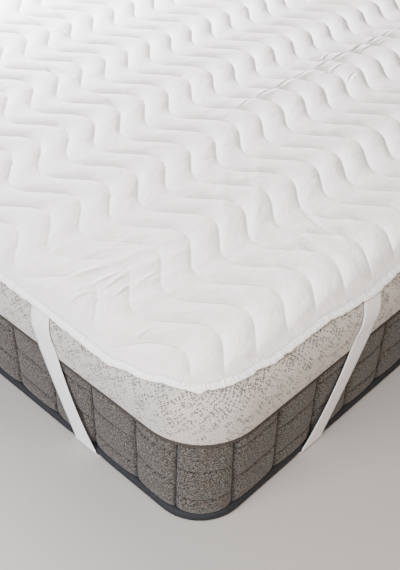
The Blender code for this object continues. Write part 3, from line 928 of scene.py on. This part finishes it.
# %% [markdown]
# The net has a row of points at each side of every stitched line, because a groove that falls between
# two rows of points doesn't show. The heights of the rings are gathered from both sorts of box.

# %% Model the border
def border_heights():
    """Heights of the rings, as shares of the border's own height from its foot."""
    shares = {0.0, 0.015, 0.04, 0.08, 0.92, 0.96, 0.985, 1.0}
    for rows in BOX_ROWS:
        for row in rows:
            middle = 1 - row
            shares.update(middle + off for off in (-0.05, -0.024, -0.010, 0.0, 0.010, 0.024, 0.05))
    shares.update(step / 13 + 0.004 for step in range(1, 13))
    kept = []
    for share in sorted(shares):
        if not kept or share - kept[-1] > 0.0075:
            kept.append(share)
    return kept


def box_stations():
    """Each station round the border: its distance, its box and its share of the box's width."""
    stations = []
    for box, (here, there) in enumerate(zip(seams, seams[1:] + [seams[0] + whole_round])):
        for share in SHARES_IN_BOX:
            stations.append((here + (there - here) * share, box, share, there - here))
    return stations


def off_stitches(box, share, width, rise):
    """Distances to the nearest upright seam and to the nearest stitched row."""
    off_seam = min(share, 1 - share) * width
    sway = 0.006 * math.sin(3 * math.pi * share + box)
    off_row = min(abs(rise + sway - (1 - row)) for row in BOX_ROWS[box % 2]) * (SEAM_HEIGHT - FOOT_TOP)
    return off_seam, off_row


def box_depth(box, share, width, rise):
    """How far the border's surface lies behind its crown."""
    off_seam, off_row = off_stitches(box, share, width, rise)
    seam = BOX_SEAM_DEPTH * (0.6 * math.exp(-off_seam / 0.0018) + 0.4 * math.exp(-off_seam / 0.010))
    row = ROW_DEPTH * (0.5 * math.exp(-off_row / 0.0013) + 0.5 * math.exp(-off_row / 0.009))
    belly = 0.0020 * (1 - math.sin(math.pi * share) ** 0.6)
    tuck = 0.0045 * (math.exp(-rise / 0.035) + math.exp(-(1 - rise) / 0.030))
    return seam + row * min(1.0, off_seam / 0.004) + belly + tuck


def model_border():
    stations = box_stations()
    rises = border_heights()
    bottom = FOOT_TOP + 0.0003
    top = SEAM_HEIGHT - 0.0003

    def place(station, ring):
        distance, box, share, width = stations[station]
        rise = rises[ring]
        corner = FOOT_CORNER + (COVER_CORNER - FOOT_CORNER) * rise
        point, _ = outline_place(HALF_MATTRESS, COVER_CORNER, distance % whole_round)
        reach, outward = side_reach(point, CENTRE, HALF_MATTRESS, corner)
        uneven = 0.0004 * (1 + noise.noise(Vector((*point, rise * 0.14)) * 30))
        depth = box_depth(box, share, width, rise) + uneven
        height = bottom + (top - bottom) * rise
        return Vector((*(point - outward * (reach + depth)), height))

    strip, ends = draw_rings(len(stations), len(rises), place)
    for edges in ends:
        bmesh.ops.edgeloop_fill(strip, edges=edges)
    mark_seam_shade(strip, stations, rises)
    distances = [station[0] for station in stations] + [stations[0][0] + whole_round]
    lay_uv(strip, distances, [rise * (SEAM_HEIGHT - FOOT_TOP) for rise in rises])
    return strip


def mark_seam_shade(strip, stations, rises):
    """An attribute for the material's painted shade: 1 on a seam or a stitched row, and 0 away from them.
    """
    station_of = strip.verts.layers.int["station"]
    ring_of = strip.verts.layers.int["ring"]
    seam_shade = strip.verts.layers.float.new("seam_shade")
    for vert in strip.verts:
        _, box, share, width = stations[vert[station_of]]
        off_seam, off_row = off_stitches(box, share, width, rises[vert[ring_of]])
        vert[seam_shade] = max(math.exp(-off_seam / 0.0020), 0.8 * math.exp(-off_row / 0.0013))


border_mesh = model_border()
print("The border has", len(border_mesh.verts), "points")

# %% [markdown]
# The border's cloth is a mottled, wool-like weave of dark and light threads, with a faint warm and
# green drift over some tens of millimetres. Two noises, each stretched along one thread direction,
# are averaged with a coarser fleck, and the result picks a grey between near black and a light one.
# Shade is painted along its seams and rows, where the cloth dips: the colour goes nearly black there.

# %% Mix the wool-like cloth and finish the border
def wool():
    material, tree = new_material("border_wool", 0.95)
    uv, _, _ = uv_metres(tree)
    weft = mottle(tree, stretched(tree, uv, 330, 520), 1.0, 2.0, 0.6)
    warp = mottle(tree, stretched(tree, uv, 520, 330), 1.0, 2.0, 0.6)
    fleck = mottle(tree, uv, 170.0, 2.0, 0.6)
    threads = weighed(tree, (weft, 0.4), (warp, 0.4), (fleck, 0.2))
    light = ramp(tree, threads, 0.45, 0.575)
    grey = blend(tree, light, (0.0020, 0.0018, 0.0016), (0.130, 0.119, 0.108))
    drift = mottle(tree, uv, 26.0, 2.0)
    warm = blend(tree, ramp(tree, drift, 0.45, 0.70, 0.0, 0.40), grey, (0.042, 0.027, 0.022))
    green = blend(tree, ramp(tree, drift, 0.45, 0.25, 0.0, 0.25), warm, (0.030, 0.033, 0.026))
    # Painted shade: an attribute marks the seams and rows, where the cloth dips, and the colour darkens
    # there.
    seam_shade = put(tree, "ShaderNodeAttribute", attribute_name="seam_shade").outputs["Fac"]
    groove_shaded = blend(tree, times(tree, seam_shade, 0.85), green, (0.006, 0.005, 0.005))
    dress(tree, groove_shaded, threads, 0.0012, sheen=0.15)
    return material


border = finish_piece("boxed_border", border_mesh, wool(), "border_wool", "mattress_border")

# %% [markdown]
# ## The welt
#
# Where the cover meets the border a narrow double cord is sewn in, which shows as two thin dark
# lines. It has no solid of its own in the frame: it is trim that only the eye needs.

# %% Model the welt
WELT_BEAD = 0.0013
WELT_SIDES = 8


def model_welt():
    path, distances = outline(HALF_MATTRESS, COVER_CORNER, COVER_STEP)
    beads = ((SEAM_HEIGHT - 0.0010, 0.0024), (SEAM_HEIGHT - 0.0036, 0.0020))
    rings = []
    for height, inset in beads:
        for side in range(WELT_SIDES):
            angle = math.pi * (0.5 - side / (WELT_SIDES - 1))
            rings.append((inset - WELT_BEAD * math.cos(angle), height + WELT_BEAD * math.sin(angle)))
    rings.append((0.0060, SEAM_HEIGHT - 0.0050))
    rings.append((0.0060, SEAM_HEIGHT + 0.0003))

    def place(station, ring):
        inset, height = rings[ring]
        point, outward = path[station]
        return Vector((*(point - outward * inset), height))

    cord, ends = draw_rings(len(path), len(rings), place)
    lay_uv(cord, distances, [ring * 0.0005 for ring in range(len(rings))])
    bmesh.ops.bridge_loops(cord, edges=ends[0] + ends[1])
    return cord


def welt_cloth():
    material, tree = new_material("welt_cloth", 0.9)
    uv, _, _ = uv_metres(tree)
    threads = mottle(tree, stretched(tree, uv, 700, 900), 1.0, 2.0)
    dark = blend(tree, ramp(tree, threads, 0.35, 0.65), (0.015, 0.012, 0.010), (0.07, 0.06, 0.052))
    dress(tree, dark, threads, 0.0005)
    return material


finish_piece("seam_welt", model_welt(), welt_cloth(), "border_wool")

# %% [markdown]
# ## The foot
#
# A soft roll closes the mattress at its foot. The straps pinch it where they pass beneath, so its
# lower side is lifted there by a bell curve of the distance from the strap.

# %% Model the foot roll
STRAP_SIDES = {
    "long side": {"hem": 0.350, "seam": 0.326, "foot": 0.2540},
    "end": {"hem": 0.392, "seam": 0.353, "foot": 0.2585},
}
STRAP_WIDTH = 0.045
FOOT_STEP = 0.010
ROLL_SIDES = 14
UNDERSIDE_LIFT = 0.0024


def under_strap(point):
    """1 where a strap passes beneath the foot, fading to 0 beside it."""
    from_end = HALF_MATTRESS.y - abs(point.y)
    from_side = HALF_MATTRESS.x - abs(point.x)
    on_long_side = from_side < from_end
    distance = from_end if on_long_side else from_side
    middle = STRAP_SIDES["long side" if on_long_side else "end"]["foot"]
    past_strap = max(0.0, abs(distance - middle) - 0.036)
    return math.exp(-(past_strap / 0.010) ** 2)


def model_foot():
    path, distances = outline(HALF_MATTRESS, FOOT_CORNER, FOOT_STEP)
    radius = FOOT_TOP / 2
    section = [(0.013, FOOT_TOP)]
    for side in range(ROLL_SIDES):
        angle = math.pi * (0.5 - side / (ROLL_SIDES - 1))
        inset = 0.0006 + 0.0062 * (1 - math.cos(angle))
        section.append((inset, radius + radius * math.sin(angle)))
    section += [(0.012, 0.0), (0.015, UNDERSIDE_LIFT)]

    def place(station, ring):
        inset, height = section[ring]
        point, outward = path[station]
        height = max(height, 0.0)
        if ring < len(section) - 1:
            height += UNDERSIDE_LIFT * under_strap(point) * (1 - section[ring][1] / FOOT_TOP)
        return Vector((*(point - outward * inset), height))

    roll, ends = draw_rings(len(path), len(section), place)
    lay_uv(roll, distances, section_lengths(section))
    for edges in ends:
        bmesh.ops.edgeloop_fill(roll, edges=edges)
    return roll


def foot_weave():
    material, tree = new_material("foot_tape", 0.75)
    uv, _, _ = uv_metres(tree)
    rib = mottle(tree, stretched(tree, uv, 900, 140), 1.0, 2.0)
    blue = blend(tree, ramp(tree, rib, 0.3, 0.7), (0.009, 0.010, 0.013), (0.020, 0.022, 0.027))
    drift = ramp(tree, mottle(tree, uv, 30.0, 2.0), 0.3, 0.7, 0.0, 0.4)
    dress(tree, blend(tree, drift, blue, (0.012, 0.013, 0.014)), rib, 0.0004)
    return material


finish_piece("foot_roll", model_foot(), foot_weave(), "foot_tape", "mattress_foot")

# %% [markdown]
# ## The elastic straps
#
# Each strap is a flat woven elastic. It leaves the hem, lies on the cover, bends a little at the
# seam, crosses the border with its corner edge held off it, pinches the foot roll and turns under.
# `create_grid` makes the flat band, each row of points is laid on the strap's way, and Solidify gives
# the band its thickness.

# %% Work out the way of a strap
STRAP_THICKNESS = 0.0012
STRAP_OFF = 0.0011
STRAP_COLUMNS = 8
UNDER_HEM = 0.004


def beside_corner(signs, side, distance, outward, height):
    """A point beside one corner: distance along the side from the corner, outward of the side."""
    inward = (-outward, distance) if side == "long side" else (distance, -outward)
    flat = [sign * (half - away) for sign, half, away in zip(signs, HALF_MATTRESS, inward)]
    return Vector((*flat, height))


def strap_side(signs, side):
    """Rows of a strap from the hem to beneath the mattress, each as its two edges."""
    places = STRAP_SIDES[side]
    hem_flat = beside_corner(signs, side, places["hem"], 0.0, 0.0).xy
    axis = 0 if side == "long side" else 1
    hem_flat[axis] = PAD_SHIFT[axis] + signs[axis] * (HALF_PAD[axis] - UNDER_HEM)
    hem = drape(hem_flat, -0.0022)
    hem_reach, _ = side_reach(hem.xy, CENTRE, HALF_MATTRESS, COVER_CORNER)
    half = STRAP_WIDTH / 2 / math.cos(math.atan2(places["seam"] - places["foot"], SEAM_HEIGHT))
    round_start = MATTRESS_TOP - EDGE_ROUND
    slide = (places["hem"] - places["seam"]) / (hem.z - SEAM_HEIGHT)
    rows = [(places["hem"], half * 0.86, hem_reach, hem.z, 0.0)]
    for step in range(1, 9):
        height = hem.z - 0.004 - (hem.z - 0.004 - round_start) * step / 8
        angle = math.asin((height - round_start) / EDGE_ROUND)
        reach = (EDGE_ROUND + STRAP_OFF + 0.001) * math.cos(angle) - EDGE_ROUND
        distance = places["hem"] - slide * (hem.z - height)
        rows.append((distance, half * (0.86 + 0.06 * step / 8), reach, height, 0.0))
    for step in range(1, 25):
        fall = step / 24
        height = round_start + (0.012 - round_start) * fall
        if height > SEAM_HEIGHT:
            distance = places["hem"] - slide * (hem.z - height)
            tent = 0.0
        else:
            below = (SEAM_HEIGHT - height) / (SEAM_HEIGHT - 0.012)
            distance = places["seam"] + (places["foot"] - places["seam"]) * below
            tent = math.sin(math.pi * below) ** 0.8
        rows.append((distance, half * (0.92 + 0.08 * min(1.0, fall * 2)), STRAP_OFF, height, tent))
    rows.extend(strap_turn(places["foot"], half))
    return [
        (beside_corner(signs, side, distance - width, reach + 0.0045 * tent, height),
         beside_corner(signs, side, distance + width, reach + 0.0006 * tent, height))
        for distance, width, reach, height, tent in rows
    ]


def strap_turn(foot_distance, half):
    """Rows round the foot, where the strap swings from its slope to the diagonal."""
    radius = 0.0065
    under = 0.0011
    diagonal_half = STRAP_WIDTH / 2 / math.sin(math.radians(45))
    rows = []
    for step in range(9):
        angle = math.radians(90) * step / 8
        reach = STRAP_OFF - radius * (1 - math.cos(angle))
        height = under + radius * (1 - math.sin(angle))
        rows.append((foot_distance, half + (diagonal_half - half) * step / 8, reach, height, 0.0))
    return rows


front_rows = strap_side((-1, -1), "long side")
print("A strap's side has", len(front_rows), "rows")

# %% [markdown]
# The two sides of a strap are joined by its straight run beneath the corner. The elastic is a ribbed
# webbing: cords run along it, picks cross them, and its two edges are a little darker.

# %% Model the four straps
UNDER_ROWS = 10


def strap_rows(signs):
    rows = strap_side(signs, "long side")
    other = list(reversed(strap_side(signs, "end")))
    near_start, far_start = rows[-1]
    near_end, far_end = other[0]
    for step in range(1, UNDER_ROWS):
        share = step / UNDER_ROWS
        rows.append((near_start.lerp(near_end, share), far_start.lerp(far_end, share)))
    return rows + other


def model_strap(signs):
    rows = strap_rows(signs)
    lengths = [0.0]
    for (near, far), (next_near, next_far) in zip(rows, rows[1:]):
        lengths.append(lengths[-1] + ((next_near + next_far - near - far) / 2).length)
    band = bmesh.new()
    bmesh.ops.create_grid(band, x_segments=STRAP_COLUMNS, y_segments=len(rows) - 1, size=0.5)
    uv = band.loops.layers.uv.new("cloth")
    for vert in band.verts:
        across = vert.co.x + 0.5
        row = round((vert.co.y + 0.5) * (len(rows) - 1))
        near, far = rows[row]
        for loop in vert.link_loops:
            loop[uv].uv = (across * STRAP_WIDTH, lengths[row])
        vert.co = near.lerp(far, across)
    return band, lengths[-1]


def elastic():
    material, tree = new_material("elastic", 0.62)
    uv, across, along = uv_metres(tree)
    relief = weighed(tree, (teeth(tree, across, 0.0014), 1.0), (teeth(tree, along, 0.0011), 0.5))
    soft = mottle(tree, stretched(tree, uv, 60, 24), 1.0, 2.0)
    pale = blend(tree, soft, (0.66, 0.655, 0.675), (0.76, 0.755, 0.775))
    edge = ramp(tree, reckon(tree, "PINGPONG", across, STRAP_WIDTH / 2), 0.0, 0.0016, 0.35, 0.0)
    dress(tree, blend(tree, edge, pale, (0.50, 0.50, 0.53)), relief, 0.0003, sheen=0.1, strength=0.6)
    return material


CORNERS = {
    "front_left": (-1, -1),
    "front_right": (1, -1),
    "back_right": (1, 1),
    "back_left": (-1, 1),
}
elastic_material = elastic()
for corner_name, corner_signs in CORNERS.items():
    band_mesh, strap_length = model_strap(corner_signs)
    names = ("elastic_" + corner_name, "strap_" + corner_name)
    strap = finish_piece(names[0], band_mesh, elastic_material, "elastic", names[1])
    thickness = strap.modifiers.new("thickness", "SOLIDIFY")
    thickness.thickness = STRAP_THICKNESS
    thickness.offset = 0.0
print("Each strap is", round(strap_length, 3), "m long")

# %% [markdown]
#
# The panel is laid, with the binding sewn to it, and the straps are stretched. The cover and
# border are padded.

# %% [markdown]
# ## Floor, light and camera
#
# A plain pale floor carries the mattress. It is declared as stage, so it is no part of the object.

# %% Lay the floor
def lay_floor():
    floor_mesh = bmesh.new()
    bmesh.ops.create_grid(floor_mesh, x_segments=1, y_segments=1, size=9.0)
    mesh = bpy.data.meshes.new("floor")
    floor_mesh.to_mesh(mesh)
    floor_mesh.free()
    material, tree = new_material("pale_floor", 0.8)
    tree.nodes["Principled BSDF"].inputs["Base Color"].default_value = (0.36, 0.352, 0.345, 1)
    mesh.materials.append(material)
    floor = bpy.data.objects.new("floor", mesh)
    bpy.context.collection.objects.link(floor)
    floor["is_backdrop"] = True


lay_floor()
print("The floor is laid")

# %% [markdown]
# White quilting shows only by its shadows. So the main light is broad and soft, stands low over the
# far part of the bed and rakes across it towards the camera. One at the left fills the long side, a
# small one in front lifts the near corner, a weak warm one lights the end, as a room lamp would, and
# one far behind serves the views from the back. The world adds a little even light.

# %% Set the lights
def soft_light(name, place, target, size, power, colour):
    light = bpy.data.lights.new(name, "AREA")
    light.shape = "RECTANGLE"
    light.size, light.size_y = size
    light.energy = power
    light.color = colour
    lamp = bpy.data.objects.new(name, light)
    lamp.location = place
    lamp.rotation_euler = (Vector(target) - Vector(place)).to_track_quat("-Z", "Y").to_euler()
    bpy.context.collection.objects.link(lamp)


soft_light("window", (-0.12, 1.12, 0.92), (-0.1, -0.5, 0.25), (1.0, 0.45), 166, (1.0, 0.98, 0.975))
soft_light("left", (-2.6, -0.7, 1.1), (-0.8, -0.7, 0.2), (1.4, 1.0), 82, (0.98, 0.98, 1.0))
soft_light("room", (-0.9, -2.1, 0.9), (-0.6, -1.0, 0.15), (0.8, 0.6), 15, (1.0, 0.80, 0.62))
soft_light("behind", (2.6, 3.0, 1.5), (0.3, 0.4, 0.1), (1.6, 1.2), 150, (1.0, 0.98, 0.96))
soft_light("front", (-1.15, -1.25, 1.2), (-0.75, -0.85, 0.2), (0.4, 0.4), 11, (1.0, 0.99, 0.98))
world = bpy.data.worlds.new("soft_room")
world.use_nodes = True
background = world.node_tree.nodes["Background"].inputs
background["Color"].default_value = (1.0, 0.95, 0.92, 1)
background["Strength"].default_value = 0.32
bpy.context.scene.world = world
print("Lights:", [light.name for light in bpy.data.lights])

# %% [markdown]
# The camera stands before the front left corner, above it, and looks down along the mattress. Its
# turn is given as a surveyor would: the heading from +X towards +Y, the dip below level and a slight
# lean. A camera looks along its own -Z, so it starts out looking straight down: the lean turns it
# about that line, the dip raises its view, and the heading swings it round.

# %% Place the camera
CAMERA_PLACE = Vector((-1.3802, -1.5262, 1.1223))
CAMERA_HEADING = math.radians(42.94)
CAMERA_DIP = math.radians(39.20)
CAMERA_LEAN = math.radians(1.37)
CAMERA_LENS = 57.03

camera_data = bpy.data.cameras.new("camera")
camera_data.lens = CAMERA_LENS
camera_data.sensor_width = 36
camera = bpy.data.objects.new("camera", camera_data)
lean = Matrix.Rotation(CAMERA_LEAN, 4, "Z")
dip = Matrix.Rotation(math.pi / 2 - CAMERA_DIP, 4, "X")
heading = Matrix.Rotation(CAMERA_HEADING - math.pi / 2, 4, "Z")
camera.matrix_world = Matrix.Translation(CAMERA_PLACE) @ heading @ dip @ lean
bpy.context.collection.objects.link(camera)
bpy.context.scene.camera = camera
print("Camera height:", round(camera.matrix_world.translation.z, 3), "m")

# %% Gather the sizes and finish
bpy.context.view_layer.update()
boxes = {"cad": cad_bounds, "visual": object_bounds()}
{key: [list(corner) for corner in box] for key, box in boxes.items()}
